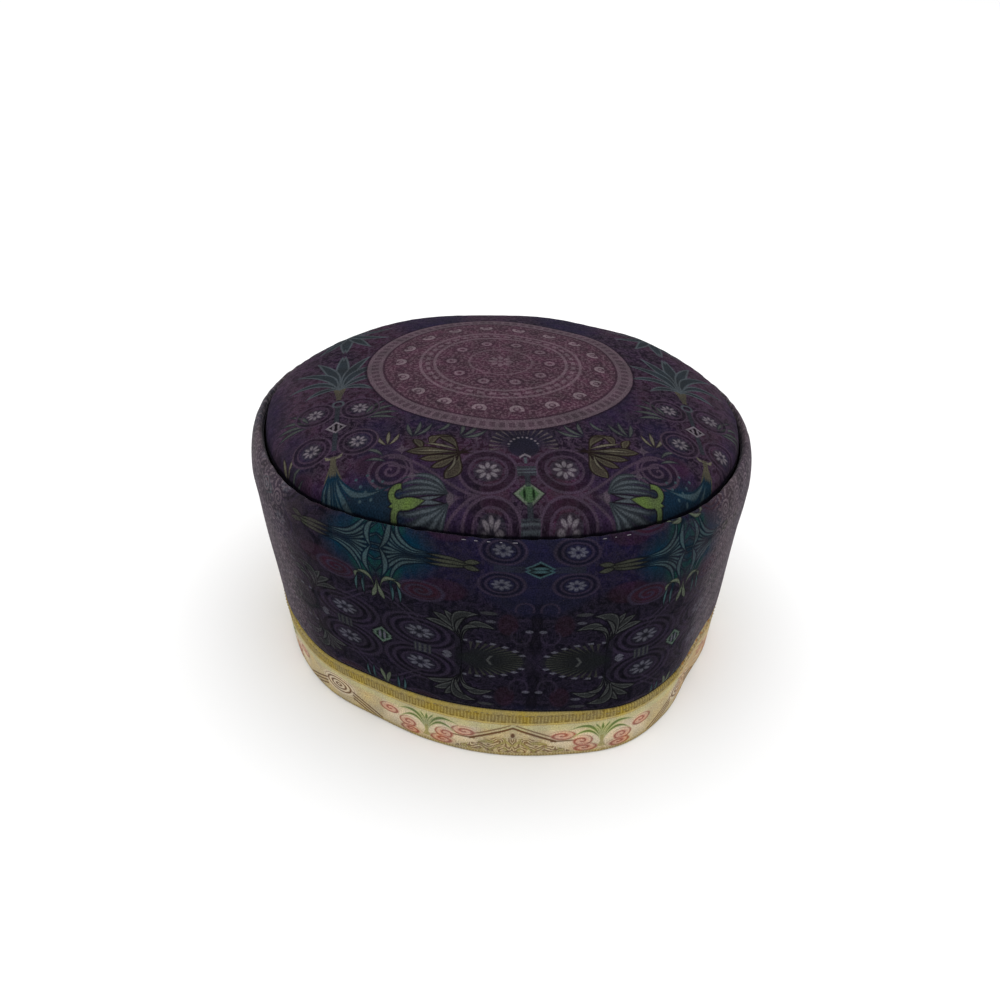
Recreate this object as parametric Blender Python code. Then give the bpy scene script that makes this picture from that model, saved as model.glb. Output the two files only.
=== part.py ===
"""A soft prayer cap of padded printed cloth.

A domed crown panel is sewn into a side wall whose top rolls in to the seam, and a border band
closes the wall's lower edge. The hollow for the head is open below.
Metres, +Z up, the origin at the middle of the base and the front towards -Y.
"""
import math
from collections import namedtuple

import bmesh
import bpy

# Driving sizes
SEAM_RADIUS = 0.0910        # crown seam, from the middle, times the shares in SECTIONS
SEAM_HEIGHT = 0.0893        # crown seam above the base
CROWN_RISE = 0.0200         # top of the crown above its seam
CROWN_FULLNESS = 0.48       # exponent of the dome: lower is flatter on top and steeper at the seam
CROWN_THICKNESS = 0.0030    # padded crown panel

HEM_RADIUS = 0.0910         # outside of the hem at the base, times the shares in SECTIONS
WALL_THICKNESS = 0.0030     # padded side wall
ROLL_REACH = 0.0038         # half width of the roll between the shoulder and the seam
ROLL_DROP = 0.0120          # shoulder, where the wall is widest, below the seam
ROLL_TURN = 115.0           # degrees the roll turns in from the shoulder to the seam

BAND_HEIGHT = 0.0195        # border band, times the shares in SECTIONS
BAND_THICKNESS = 0.0028     # folded border strip
EDGE_ROUND = 0.0008         # chamfer of the folded edges
SEWN_GAP = 0.0003           # clearance between two pieces that are sewn together

# Mesh steps
BEARING_STEPS = 64
WALL_STEPS = 4
ROLL_STEPS = 7
CROWN_STEPS = 8

# The cap's plan: the soft front corners and flats, the straighter sides, and a plain round back.
# A bearing is in degrees from +X, anticlockwise seen from above, so the front is 270. The other
# columns are shares of SEAM_RADIUS, HEM_RADIUS and BAND_HEIGHT.
Section = namedtuple("Section", "bearing seam hem band")
SECTIONS = (
    Section(0, 0.990, 1.000, 1.00),
    Section(30, 1.000, 1.010, 1.00),
    Section(60, 1.015, 1.010, 1.00),
    Section(90, 1.010, 1.010, 1.00),
    Section(120, 1.015, 1.010, 1.00),
    Section(150, 1.010, 1.000, 1.00),
    Section(180, 1.005, 0.965, 1.00),
    Section(195, 1.000, 0.945, 1.06),
    Section(210, 1.005, 0.948, 1.12),
    Section(225, 1.010, 0.950, 1.06),
    Section(240, 0.975, 0.935, 1.08),
    Section(255, 0.940, 0.960, 1.07),
    Section(270, 0.935, 0.990, 1.08),
    Section(285, 0.945, 1.015, 1.04),
    Section(300, 0.965, 1.050, 0.96),
    Section(315, 0.985, 1.015, 0.96),
    Section(330, 0.980, 0.965, 1.00),
    Section(345, 0.985, 0.980, 1.00),
)

# Look of each piece: linear colour, roughness
CROWN_CLOTH = ((0.045, 0.022, 0.045), 0.85)
WALL_CLOTH = ((0.022, 0.016, 0.030), 0.85)
BAND_CLOTH = ((0.520, 0.390, 0.200), 0.80)


def share(column, bearing):
    """The share in a column of SECTIONS at any bearing, on a smooth curve through the rows."""
    bearing %= 360.0
    here = max(i for i, row in enumerate(SECTIONS) if row.bearing <= bearing)
    near = []
    for index in range(here - 1, here + 3):
        turns, row_index = divmod(index, len(SECTIONS))
        row = SECTIONS[row_index]
        near.append((row.bearing + 360.0 * turns, getattr(row, column)))
    (before, v0), (start, v1), (end, v2), (after, v3) = near
    span = end - start
    slope_start = (v2 - v0) / (end - before) * span
    slope_end = (v3 - v1) / (after - start) * span
    t = (bearing - start) / span
    value = v1 * (2 * t ** 3 - 3 * t ** 2 + 1) + v2 * (3 * t ** 2 - 2 * t ** 3)
    return value + slope_start * (t ** 3 - 2 * t ** 2 + t) + slope_end * (t ** 3 - t ** 2)


def seam_radius(bearing):
    return SEAM_RADIUS * share("seam", bearing)


def band_top(bearing):
    return BAND_HEIGHT * share("band", bearing)


def shoulder_height():
    return SEAM_HEIGHT - ROLL_DROP


def roll_centre(bearing):
    """Distance out to the middle of the roll, which turns in to end beside the seam."""
    return seam_radius(bearing) + SEWN_GAP / 2 - ROLL_REACH * math.cos(math.radians(ROLL_TURN))


def side_radius(bearing, height):
    """Outside of the cap's side at a height between the base and the shoulder."""
    hem = HEM_RADIUS * share("hem", bearing)
    shoulder = roll_centre(bearing) + ROLL_REACH
    return hem + (shoulder - hem) * height / shoulder_height()


def bearings():
    return [360.0 * step / BEARING_STEPS for step in range(BEARING_STEPS)]


def plan_middle():
    """Middle of the cap's widest outline seen from above, which is set over the origin."""
    along = []
    across = []
    for bearing in bearings():
        reach = max(side_radius(bearing, 0.0), side_radius(bearing, shoulder_height()))
        along.append(reach * math.cos(math.radians(bearing)))
        across.append(reach * math.sin(math.radians(bearing)))
    return (min(along) + max(along)) / 2, (min(across) + max(across)) / 2


def spread(low, high, steps):
    """Values from low to high in equal steps, both ends included."""
    return [low + (high - low) * step / steps for step in range(steps + 1)]


def roll_outline(bearing, thickness):
    """The roll from the shoulder to the seam: the outside, or the inside a thickness within it."""
    centre = roll_centre(bearing)
    rise = ROLL_DROP / math.sin(math.radians(ROLL_TURN))
    points = []
    for angle in spread(0.0, math.radians(ROLL_TURN), ROLL_STEPS)[1:]:
        reach = ROLL_REACH - thickness if math.cos(angle) > 0 else ROLL_REACH
        lift = rise * math.sin(angle) - thickness * min(1.0, angle / (math.pi / 2))
        points.append((centre + reach * math.cos(angle), shoulder_height() + lift))
    return points


def wall_outline(bearing):
    """Section of the side wall: up the outside, over the roll, and down the inside."""
    foot = band_top(bearing) + SEWN_GAP
    outside = []
    for height in spread(foot + EDGE_ROUND, shoulder_height(), WALL_STEPS):
        outside.append((side_radius(bearing, height), height))
    inside = []
    for height in spread(shoulder_height(), foot, WALL_STEPS):
        inside.append((side_radius(bearing, height) - WALL_THICKNESS, height))
    under = (side_radius(bearing, foot) - EDGE_ROUND, foot)
    roll = roll_outline(bearing, 0.0) + roll_outline(bearing, WALL_THICKNESS)[::-1]
    return [under] + outside + roll + inside


def band_outline(bearing):
    """Section of the border band: flat below, with both folded edges eased on the outside."""
    top = band_top(bearing)
    low, middle, high = EDGE_ROUND, top / 2, top - EDGE_ROUND
    points = [(side_radius(bearing, 0.0) - EDGE_ROUND, 0.0)]
    for height in (low, middle, high):
        points.append((side_radius(bearing, height), height))
    points.append((side_radius(bearing, top) - EDGE_ROUND, top))
    for height in (top, middle, 0.0):
        points.append((side_radius(bearing, height) - BAND_THICKNESS, height))
    return points


def crown_height(part_way):
    """Top of the crown at a share of the way from its middle to its edge."""
    return SEAM_HEIGHT + CROWN_RISE * (1.0 - part_way ** 2) ** CROWN_FULLNESS


def crown_outline(bearing):
    """Section of the crown from near its middle, out over the dome, and back in below it."""
    edge = seam_radius(bearing) - SEWN_GAP / 2
    ways = [math.sin(angle) for angle in spread(0.0, math.pi / 2, CROWN_STEPS)[1:]]
    above = [(edge * way, crown_height(way)) for way in ways]
    below = [((edge - CROWN_THICKNESS) * way, crown_height(way) - CROWN_THICKNESS) for way in ways]
    return above + [(edge, SEAM_HEIGHT - CROWN_THICKNESS)] + below[::-1]


def cloth_material(name, look):
    colour, roughness = look
    material = bpy.data.materials.new(name)
    material.use_nodes = True
    shader = material.node_tree.nodes["Principled BSDF"]
    shader.inputs["Base Color"].default_value = (*colour, 1.0)
    shader.inputs["Roughness"].default_value = roughness
    shader.inputs["Metallic"].default_value = 0.0
    return material


def sweep(name, outline, look, poles=None):
    """A closed solid from a section swept once round the cap.

    The outline is a function of the bearing. Without poles it is a closed loop, so the solid is a
    ring. With poles, the heights of its two ends on the axis, the solid is a shell over the axis.
    """
    mesh = bmesh.new()
    middle_x, middle_y = plan_middle()
    rings = []
    for bearing in bearings():
        along = math.cos(math.radians(bearing))
        across = math.sin(math.radians(bearing))
        ring = []
        for radius, height in outline(bearing):
            place = (radius * along - middle_x, radius * across - middle_y, height)
            ring.append(mesh.verts.new(place))
        rings.append(ring)
    points = len(rings[0])
    last = points if poles is None else points - 1
    tips = []
    if poles is not None:
        tips = [mesh.verts.new((-middle_x, -middle_y, height)) for height in poles]
    for this, following in zip(rings, rings[1:] + rings[:1]):
        for i in range(last):
            j = (i + 1) % points
            mesh.faces.new((this[i], following[i], following[j], this[j]))
        if tips:
            mesh.faces.new((tips[0], following[0], this[0]))
            mesh.faces.new((tips[1], this[-1], following[-1]))
    bmesh.ops.recalc_face_normals(mesh, faces=mesh.faces)
    data = bpy.data.meshes.new(name)
    mesh.to_mesh(data)
    mesh.free()
    data.shade_smooth()
    data.set_sharp_from_angle(angle=math.radians(50.0))
    data.materials.append(cloth_material(name, look))
    piece = bpy.data.objects.new(name, data)
    bpy.context.scene.collection.objects.link(piece)
    return piece


def build_cap():
    for old in list(bpy.data.objects):
        bpy.data.objects.remove(old, do_unlink=True)
    crown_middle = crown_height(0.0)
    poles = (crown_middle, crown_middle - CROWN_THICKNESS)
    sweep("crown_panel", crown_outline, CROWN_CLOTH, poles)
    sweep("side_wall", wall_outline, WALL_CLOTH)
    sweep("hem_band", band_outline, BAND_CLOTH)


build_cap()
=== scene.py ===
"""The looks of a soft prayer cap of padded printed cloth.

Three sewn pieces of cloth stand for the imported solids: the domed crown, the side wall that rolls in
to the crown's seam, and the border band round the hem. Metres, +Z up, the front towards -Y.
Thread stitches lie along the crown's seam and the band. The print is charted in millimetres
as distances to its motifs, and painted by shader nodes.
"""
import math
from collections import namedtuple
from functools import partial

import bmesh
import bpy
import numpy as np
from mathutils import Matrix, Vector


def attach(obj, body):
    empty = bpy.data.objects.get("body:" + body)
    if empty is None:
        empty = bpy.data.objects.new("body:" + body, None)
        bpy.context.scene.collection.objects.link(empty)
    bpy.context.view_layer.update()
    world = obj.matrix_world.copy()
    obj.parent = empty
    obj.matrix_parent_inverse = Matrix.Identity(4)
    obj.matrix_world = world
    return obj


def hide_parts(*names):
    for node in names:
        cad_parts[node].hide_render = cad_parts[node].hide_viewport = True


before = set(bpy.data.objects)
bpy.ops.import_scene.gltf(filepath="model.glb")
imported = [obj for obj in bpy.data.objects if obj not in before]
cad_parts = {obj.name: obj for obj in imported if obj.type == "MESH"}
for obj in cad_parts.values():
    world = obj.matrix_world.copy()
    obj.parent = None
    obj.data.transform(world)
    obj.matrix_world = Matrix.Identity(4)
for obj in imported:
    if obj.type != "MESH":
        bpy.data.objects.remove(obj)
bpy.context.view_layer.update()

MM = 0.001
TURN = 2.0 * math.pi

# Sizes of the sewn pieces, the same as the solids'
SEAM_RADIUS = 0.0910        # crown seam, from the middle, times the shares in SECTIONS
SEAM_HEIGHT = 0.0893        # crown seam above the base
CROWN_RISE = 0.0200         # top of the crown above its seam
CROWN_FULLNESS = 0.48       # exponent of the dome
CROWN_THICKNESS = 0.0030
HEM_RADIUS = 0.0910         # outside of the hem at the base, times the shares in SECTIONS
WALL_THICKNESS = 0.0030
ROLL_REACH = 0.0038         # half width of the roll between the shoulder and the seam
ROLL_DROP = 0.0120          # shoulder, where the wall is widest, below the seam
ROLL_TURN = 115.0           # degrees the roll turns in from the shoulder to the seam
BAND_HEIGHT = 0.0195        # border band, times the shares in SECTIONS
BAND_THICKNESS = 0.0028
EDGE_ROUND = 0.0008         # rounding of the folded edges
SEWN_GAP = 0.0003           # clearance between two pieces that are sewn together

# The plan: shares of SEAM_RADIUS, HEM_RADIUS and BAND_HEIGHT at bearings from +X, anticlockwise
Section = namedtuple("Section", "bearing seam hem band")
SECTIONS = (
    Section(0, 0.990, 1.000, 1.00),
    Section(30, 1.000, 1.010, 1.00),
    Section(60, 1.015, 1.010, 1.00),
    Section(90, 1.010, 1.010, 1.00),
    Section(120, 1.015, 1.010, 1.00),
    Section(150, 1.010, 1.000, 1.00),
    Section(180, 1.005, 0.965, 1.00),
    Section(195, 1.000, 0.945, 1.06),
    Section(210, 1.005, 0.948, 1.12),
    Section(225, 1.010, 0.950, 1.06),
    Section(240, 0.975, 0.935, 1.08),
    Section(255, 0.940, 0.960, 1.07),
    Section(270, 0.935, 0.990, 1.08),
    Section(285, 0.945, 1.015, 1.04),
    Section(300, 0.965, 1.050, 0.96),
    Section(315, 0.985, 1.015, 0.96),
    Section(330, 0.980, 0.965, 1.00),
    Section(345, 0.985, 0.980, 1.00),
)

# Fine shape of the cloth
SEAM_GROOVE = 0.0019        # how far both lips of the crown seam turn down into it
SEAM_LIP = 0.0016           # width of each lip
SEAM_TUCK = 0.00020         # how far each lip draws back from the other, so that the seam gapes
CROWN_WRAP = 0.65           # how much the print follows the steep edge of the crown
CROWN_WRAP_FROM = 0.0012    # and from how far down it
SEAM_PUCKER = 0.00022       # height of the puckers that the stitches draw beside a seam
SEAM_PUCKER_REACH = 0.0050  # how far they run from it
PUCKER_START = 0.0006       # where they start beside the crown seam
SEAM_WAVES = (74, 0.3)      # puckers round the crown seam, and their shift
HEM_WAVES = (86, 1.7)
CROWN_SOFTNESS = 0.00045    # height of the soft dents in the crown
WALL_SOFTNESS = 0.00040     # depth of the soft dents in the wall
HEM_GROOVE = 0.0007         # how far the wall draws in above the band

# The print's front axis, and the join behind it
PRINT_FRONT = 278.5         # bearing of the wall print's front axis
BACK_JOIN = PRINT_FRONT - 180.0

# Mesh steps
COLUMNS = 384
CROWN_ROWS = 72
WALL_ROWS = 48
ROLL_ROWS = 26
EDGE_ROWS = 4
INSIDE_ROWS = 14
BAND_ROWS = 12

# Camera: the photograph's angle, from in front and above, with its slight roll
CAMERA_TARGET = (0.0002, -0.0034, 0.0517)
CAMERA_DISTANCE = 0.430
CAMERA_ELEVATION = 31.55
CAMERA_ROLL = 2.537
CAMERA_SENSOR = 36.0
CAMERA_LENS = 38.22

# Floor and light
FLOOR_REACH = 3.0
WORLD_STRENGTH = 0.7
TOP_LIGHT_HEIGHT = 3.0
TOP_LIGHT_SIZE = (6.0, 6.0)
TOP_LIGHT_POWER = 130.0


def share(column, bearing):
    """The share in a column of SECTIONS at each bearing, on a smooth curve through the rows."""
    at = np.array([row.bearing for row in SECTIONS], float)
    value = np.array([getattr(row, column) for row in SECTIONS], float)
    at = np.concatenate((at[-2:] - 360.0, at, at[:2] + 360.0))
    value = np.concatenate((value[-2:], value, value[:2]))
    bearing = np.mod(bearing, 360.0)
    here = np.searchsorted(at, bearing, side="right") - 1
    span = at[here + 1] - at[here]
    slope_start = (value[here + 1] - value[here - 1]) / (at[here + 1] - at[here - 1]) * span
    slope_end = (value[here + 2] - value[here]) / (at[here + 2] - at[here]) * span
    t = (bearing - at[here]) / span
    blend = value[here] * (2 * t ** 3 - 3 * t ** 2 + 1) + value[here + 1] * (3 * t ** 2 - 2 * t ** 3)
    return blend + slope_start * (t ** 3 - 2 * t ** 2 + t) + slope_end * (t ** 3 - t ** 2)


def polar(radius, bearing):
    angle = np.radians(bearing)
    return radius * np.cos(angle), radius * np.sin(angle)


def seam_radius(bearing):
    return SEAM_RADIUS * share("seam", bearing)


def band_top(bearing):
    return BAND_HEIGHT * share("band", bearing)


def shoulder_height():
    return SEAM_HEIGHT - ROLL_DROP


def roll_centre(bearing):
    """Distance out to the middle of the roll, which turns in to end beside the seam."""
    return seam_radius(bearing) + SEWN_GAP / 2 - ROLL_REACH * math.cos(math.radians(ROLL_TURN))


def roll_length():
    """Length of cloth over the roll, from the shoulder to the seam."""
    turn = np.linspace(0.0, math.radians(ROLL_TURN), ROLL_ROWS + 1)
    out = ROLL_REACH * np.cos(turn)
    up = ROLL_DROP / math.sin(math.radians(ROLL_TURN)) * np.sin(turn)
    return float(np.hypot(np.diff(out), np.diff(up)).sum())


def side_radius(bearing, height):
    """Outside of the cap's side at a height between the base and the shoulder."""
    hem = HEM_RADIUS * share("hem", bearing)
    shoulder = roll_centre(bearing) + ROLL_REACH
    return hem + (shoulder - hem) * height / shoulder_height()


def plan_middle():
    """Middle of the solids' widest outline seen from above, which is set over the origin."""
    solids_bearings = np.arange(64) * 360.0 / 64
    reach = np.maximum(side_radius(solids_bearings, 0.0), side_radius(solids_bearings, shoulder_height()))
    along, across = polar(reach, solids_bearings)
    return (along.min() + along.max()) / 2, (across.min() + across.max()) / 2


def smooth_step(value):
    value = np.clip(value, 0.0, 1.0)
    return value * value * (3.0 - 2.0 * value)


def ripple(bearing, waves, shift):
    """An irregular ripple round the cap, between about -1 and 1."""
    angle = np.radians(bearing)
    total = 0.0
    for rate, weight in ((1.0, 0.40), (0.73, 0.25), (1.37, 0.20), (0.41, 0.25)):
        total = total + weight * np.sin(round(waves * rate) * angle + shift * (1.0 + 7.0 * rate))
    return total


def seam_pucker(bearing, away):
    """Height of the puckers at a distance from the crown seam."""
    start = smooth_step(away / PUCKER_START)
    return 2.0 * SEAM_PUCKER * ripple(bearing, *SEAM_WAVES) * np.exp(-away / SEAM_PUCKER_REACH) * start


def hem_pucker(bearing, away):
    """Height of the puckers at a distance from the band's upper edge."""
    return SEAM_PUCKER * ripple(bearing, *HEM_WAVES) * np.exp(-away / SEAM_PUCKER_REACH)


def crown_height(way):
    """Top of the crown at a share of the way from its middle to its edge."""
    return SEAM_HEIGHT + CROWN_RISE * np.clip(1.0 - way ** 2, 0.0, 1.0) ** CROWN_FULLNESS


def columns():
    """Bearings of the mesh columns, from the join at the back and once round."""
    return BACK_JOIN + 360.0 * np.arange(COLUMNS + 1) / COLUMNS


def front_distance(bearing):
    """Distance round the shoulder from the print's front axis, in mm, at each bearing in turn."""
    x, y = polar(side_radius(bearing, shoulder_height()), bearing)
    gone = np.concatenate(([0.0], np.cumsum(np.hypot(np.diff(x), np.diff(y)))))
    return (gone - np.interp(PRINT_FRONT, bearing, gone)) / MM


def place(radius, bearing, height):
    """Points from distances out, bearings and heights, in the frame."""
    middle_x, middle_y = plan_middle()
    x, y = polar(radius, bearing)
    return np.stack(np.broadcast_arrays(x - middle_x, y - middle_y, height), axis=-1)


def add_object(name, data):
    """An object of the scene, from a mesh, a light or a camera."""
    piece = bpy.data.objects.new(name, data)
    bpy.context.scene.collection.objects.link(piece)
    return piece


def cloth_mesh(name, grid, maps, printed_rows, closed, poles=()):
    """A cloth shell from a grid of points, rows by columns, that closes round the columns.

    Each of the named maps gives two coordinates for each grid point, with one more column for the
    join. Rows before printed_rows take the first material, and the others the second. A closed grid
    joins its last row to its first. Otherwise two poles close it, and the maps have a row more for both.
    """
    rows, round_it, _ = grid.shape
    points = [tuple(point) for point in grid.reshape(-1, 3)]
    faces = []
    corners = []
    looks = []
    for row in range(rows if closed else rows - 1):
        following = (row + 1) % rows
        for column in range(round_it):
            beside = (column + 1) % round_it
            faces.append((row * round_it + column, row * round_it + beside,
                          following * round_it + beside, following * round_it + column))
            corners += [(row, column), (row, column + 1), (following, column + 1), (following, column)]
            looks.append(0 if row < printed_rows else 1)
    for point, row in zip(poles, (0, rows - 1)):
        points.append(tuple(point))
        for column in range(round_it):
            beside = (column + 1) % round_it
            faces.append((len(points) - 1, row * round_it + beside, row * round_it + column))
            corners += [(rows, column), (row, column + 1), (row, column)]
            looks.append(0 if row == 0 else 1)
    data = bpy.data.meshes.new(name)
    data.from_pydata(points, [], faces)
    corner_row, corner_column = np.array(corners).T
    for map_name, places in maps.items():
        layer = data.uv_layers.new(name=map_name)
        layer.data.foreach_set("uv", places[corner_row, corner_column].astype(np.float32).ravel())
    data.polygons.foreach_set("material_index", looks)
    mesh = bmesh.new()
    mesh.from_mesh(data)
    bmesh.ops.recalc_face_normals(mesh, faces=mesh.faces)
    mesh.to_mesh(data)
    mesh.free()
    data.shade_smooth()
    return add_object(name, data)


def crown_piece():
    """The domed crown: its top, the lip that turns down into the seam, and its underside."""
    bearing = columns()
    edge = seam_radius(bearing) - SEWN_GAP / 2
    angle = np.radians(bearing)
    above = np.sin(np.linspace(0.0, math.pi / 2, CROWN_ROWS + 1))[1:]
    radii = []
    heights = []
    reaches = []
    gone = []
    reach = 0.0
    last = (0.0, crown_height(0.0))
    for way in above:
        radius = edge * way
        reach = reach + np.hypot(radius - last[0], crown_height(way) - last[1])
        last = (radius, crown_height(way))
        gone.append(reach)
        reaches.append(radius + CROWN_WRAP * np.maximum(reach - radius - CROWN_WRAP_FROM, 0.0))
        x, y = radius * np.cos(angle), radius * np.sin(angle)
        inset = edge - radius
        soft = np.sin(x * 61.0 + 0.7) * np.sin(y * 53.0 + 1.9) + 0.6 * np.sin(x * 118.0 - y * 87.0 + 0.4)
        soft = soft * smooth_step(way * 2.0) * smooth_step((1.0 - way) * 9.0)
        lip = smooth_step(1.0 - inset / SEAM_LIP)
        radii.append(radius - SEAM_TUCK * lip)
        heights.append(crown_height(way) + CROWN_SOFTNESS * soft + seam_pucker(bearing, inset)
                       - SEAM_GROOVE * lip)
    below = np.sin(np.linspace(math.pi / 2, 0.0, INSIDE_ROWS + 1))[:-1]
    for way in below:
        radii.append((edge - CROWN_THICKNESS) * way)
        reaches.append(radii[-1])
        gone.append(radii[-1])
        heights.append(np.full_like(bearing, crown_height(way) - CROWN_THICKNESS))
    radii = np.array(radii)
    heights = np.array(heights)
    lowest = SEAM_HEIGHT - CROWN_THICKNESS
    heights[CROWN_ROWS:] = np.maximum(heights[CROWN_ROWS:], lowest)
    reaches = np.array(reaches)
    print_map = np.stack((reaches * np.cos(angle), reaches * np.sin(angle)), axis=-1) / MM
    gone = np.array(gone)
    to_seam = (gone[CROWN_ROWS - 1] - gone) / MM
    seam_map = np.stack((to_seam, np.broadcast_to(-np.sin(angle), gone.shape)), axis=-1)
    maps = {name: np.concatenate((places, np.full_like(places[:1], centre)))
            for name, places, centre in (("print", print_map, 0.0), ("seam", seam_map, to_seam.max()))}
    middle_x, middle_y = plan_middle()
    grid = place(radii, bearing, heights)[:, :-1]
    top = (-middle_x, -middle_y, float(crown_height(0.0)))
    under = (-middle_x, -middle_y, float(crown_height(0.0)) - CROWN_THICKNESS)
    return cloth_mesh("crown_cloth", grid, maps, CROWN_ROWS, False, (top, under))


def side_piece():
    """The side wall: up the outside, over the roll into the seam, and down the inside."""
    bearing = columns()
    foot = band_top(bearing) + SEWN_GAP
    centre = roll_centre(bearing)
    rise = ROLL_DROP / math.sin(math.radians(ROLL_TURN))
    shoulder = shoulder_height()
    radii = []
    heights = []
    lengths = []
    for turn in np.linspace(0.0, math.pi / 2, EDGE_ROWS + 1)[:-1]:
        height = foot + EDGE_ROUND * (1.0 - math.cos(turn))
        radii.append(side_radius(bearing, foot) - HEM_GROOVE - EDGE_ROUND * (1.0 - math.sin(turn)))
        heights.append(height)
        lengths.append(height / MM)
    for way in np.linspace(0.0, 1.0, WALL_ROWS + 1):
        height = foot + EDGE_ROUND + (shoulder - foot - EDGE_ROUND) * way
        above_foot = height - foot
        soft = ripple(bearing, 11, 2.6) * np.sin(way * math.pi) + 0.6 * ripple(bearing, 19, 0.9) * np.sin(
            way * 2.3 * math.pi + 0.6)
        drawn_in = HEM_GROOVE * np.exp(-above_foot / (2.2 * EDGE_ROUND))
        radii.append(side_radius(bearing, height) + hem_pucker(bearing, above_foot)
                     + WALL_SOFTNESS * soft * smooth_step((1.0 - way) * 5.0) - drawn_in)
        heights.append(height)
        lengths.append(height / MM)
    gone = shoulder
    last_out, last_up = ROLL_REACH, 0.0
    full = math.radians(ROLL_TURN)
    for turn in np.linspace(0.0, full, ROLL_ROWS + 1)[1:]:
        out, up = ROLL_REACH * math.cos(turn), rise * math.sin(turn)
        gone += math.hypot(out - last_out, up - last_up)
        last_out, last_up = out, up
        left = ROLL_REACH * (math.cos(turn) - math.cos(full))
        lip = float(smooth_step(1.0 - left / SEAM_LIP))
        radii.append(centre + out + SEAM_TUCK * lip)
        heights.append(shoulder + up - SEAM_GROOVE * lip - seam_pucker(bearing, left))
        lengths.append(np.full_like(bearing, gone / MM))
    printed = len(radii)
    for turn in np.linspace(full, 0.0, ROLL_ROWS // 2):
        reach = ROLL_REACH - WALL_THICKNESS if math.cos(turn) > 0 else ROLL_REACH
        lift = rise * math.sin(turn) - WALL_THICKNESS * min(1.0, turn / (math.pi / 2))
        radii.append(centre + reach * math.cos(turn))
        heights.append(np.full_like(bearing, shoulder + lift))
        lengths.append(np.zeros_like(bearing))
    for way in np.linspace(1.0, 0.0, INSIDE_ROWS + 1)[1:]:
        height = foot + (shoulder - foot) * way
        radii.append(side_radius(bearing, height) - WALL_THICKNESS)
        heights.append(height)
        lengths.append(height / MM)
    along = np.broadcast_to(front_distance(bearing), np.array(radii).shape)
    print_map = np.stack((along, np.array(lengths)), axis=-1)
    grid = place(np.array(radii), bearing, np.array(heights))[:, :-1]
    return cloth_mesh("side_cloth", grid, {"print": print_map}, printed - 1, True)


def band_piece():
    """The border band: a folded strip, flat below, with both folded edges rounded."""
    bearing = columns()
    top = band_top(bearing)
    radii = []
    heights = []
    for turn in np.linspace(0.0, math.pi / 2, EDGE_ROWS + 1)[:-1]:
        radii.append(side_radius(bearing, 0.0) - EDGE_ROUND * (1.0 - math.sin(turn)))
        heights.append(np.full_like(bearing, EDGE_ROUND * (1.0 - math.cos(turn))))
    for way in np.linspace(0.0, 1.0, BAND_ROWS + 1):
        height = EDGE_ROUND + (top - 2.0 * EDGE_ROUND) * way
        swell = 1.6 * math.sin(way * math.pi)
        radii.append(side_radius(bearing, height) + swell * hem_pucker(bearing, top - height))
        heights.append(height)
    for turn in np.linspace(math.pi / 2, 0.0, EDGE_ROWS + 1)[1:]:
        radii.append(side_radius(bearing, top) - EDGE_ROUND * (1.0 - math.sin(turn)))
        heights.append(top - EDGE_ROUND * (1.0 - math.cos(turn)))
    printed = len(radii)
    for way in np.linspace(1.0, 0.0, BAND_ROWS // 2):
        radii.append(side_radius(bearing, top * way) - BAND_THICKNESS)
        heights.append(top * way)
    along = np.broadcast_to(front_distance(bearing), np.array(radii).shape)
    print_map = np.stack((along, np.array(heights) / MM), axis=-1)
    grid = place(np.array(radii), bearing, np.array(heights))[:, :-1]
    return cloth_mesh("border_band", grid, {"print": print_map}, printed - 1, True)


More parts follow.
